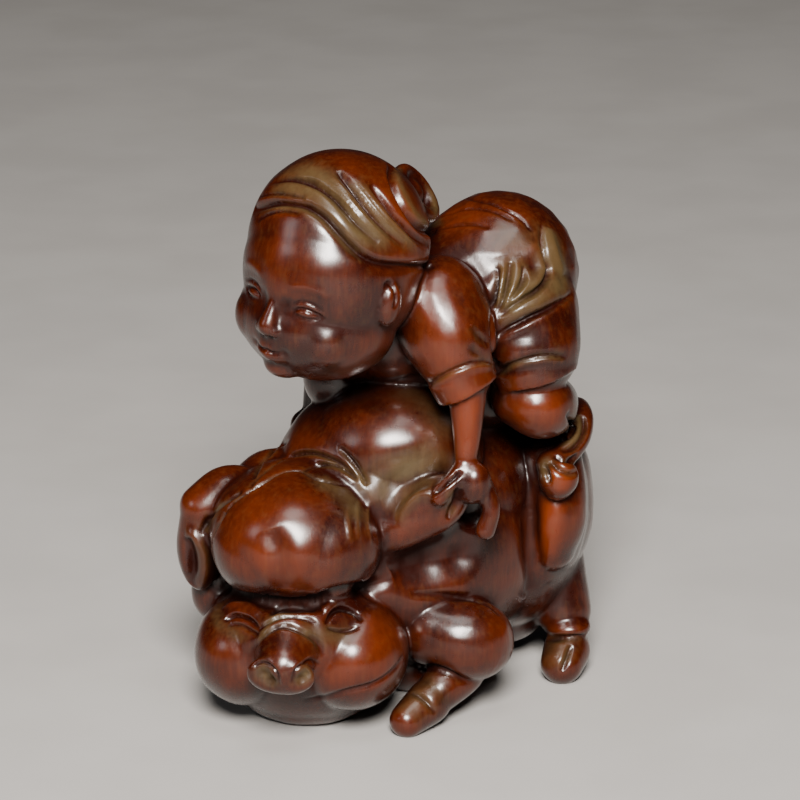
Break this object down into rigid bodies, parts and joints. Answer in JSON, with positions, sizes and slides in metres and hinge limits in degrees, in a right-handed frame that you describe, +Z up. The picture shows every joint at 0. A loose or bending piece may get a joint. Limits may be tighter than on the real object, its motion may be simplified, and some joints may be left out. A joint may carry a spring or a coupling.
{
  "type": "netsuke",
  "caption": "Carved boxwood netsuke of a boy kneeling astride a resting pig and pulling its ear, dark stained and polished, standing on its flat underside.",
  "frame": {"origin": "centre of the bounding box in plan, at the level of the underside", "axes": "+Z up; -Y towards the side on which the carving is shown, with the pig's face at its left; +X to the right of that view"},
  "size_m": [0.0362, 0.0348, 0.0501],
  "materials": {
    "boxwood": "stained dark red-brown and polished, worn amber on the high parts"
  },
  "bodies": {
    "root": {"netsuke": "boxwood"}
  },
  "joints": []
}
